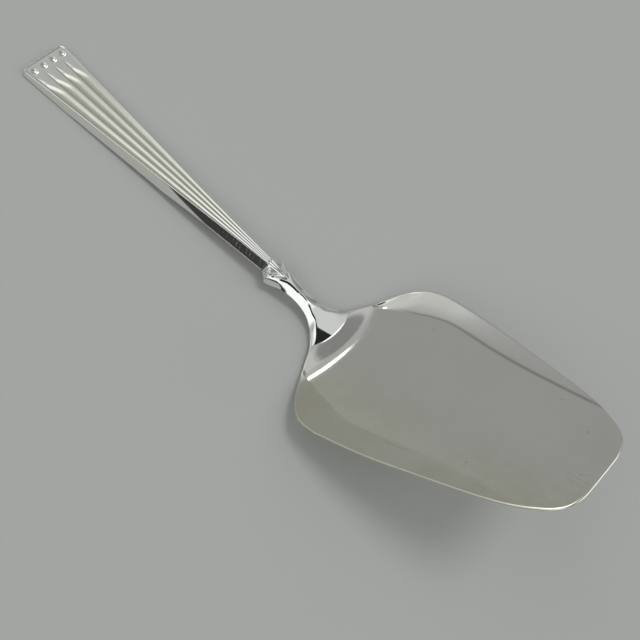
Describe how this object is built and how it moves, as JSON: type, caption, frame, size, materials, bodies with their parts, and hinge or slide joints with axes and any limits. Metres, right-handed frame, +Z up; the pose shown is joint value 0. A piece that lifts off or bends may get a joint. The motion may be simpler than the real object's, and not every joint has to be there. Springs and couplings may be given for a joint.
{
  "type": "cake server",
  "caption": "Silver-plated cake server: a wide pressed blade set at a slope under the tongue of a flared stem, on a slim tapering handle with scooped flutes",
  "frame": {"origin": "middle of the bounding box's base, on the table that the server rests on", "axes": "+X from the butt to the blade tip, +Y to the left of a user holding the handle with the blade ahead, +Z up from the table"},
  "size_m": [0.2402, 0.0706, 0.057],
  "materials": {
    "silver_handle": "silver plate, polished, with tarnish in the flutes",
    "silver_stem": "silver plate, bright polish",
    "silver_blade": "silver plate, polished, with fine scratches and wear",
    "solder": "silver solder, plated over"
  },
  "bodies": {
    "root": {"handle": "silver_handle", "stem": "silver_stem", "blade": "silver_blade", "tongue_solder": "solder", "spigot_solder": "solder"}
  },
  "joints": []
}
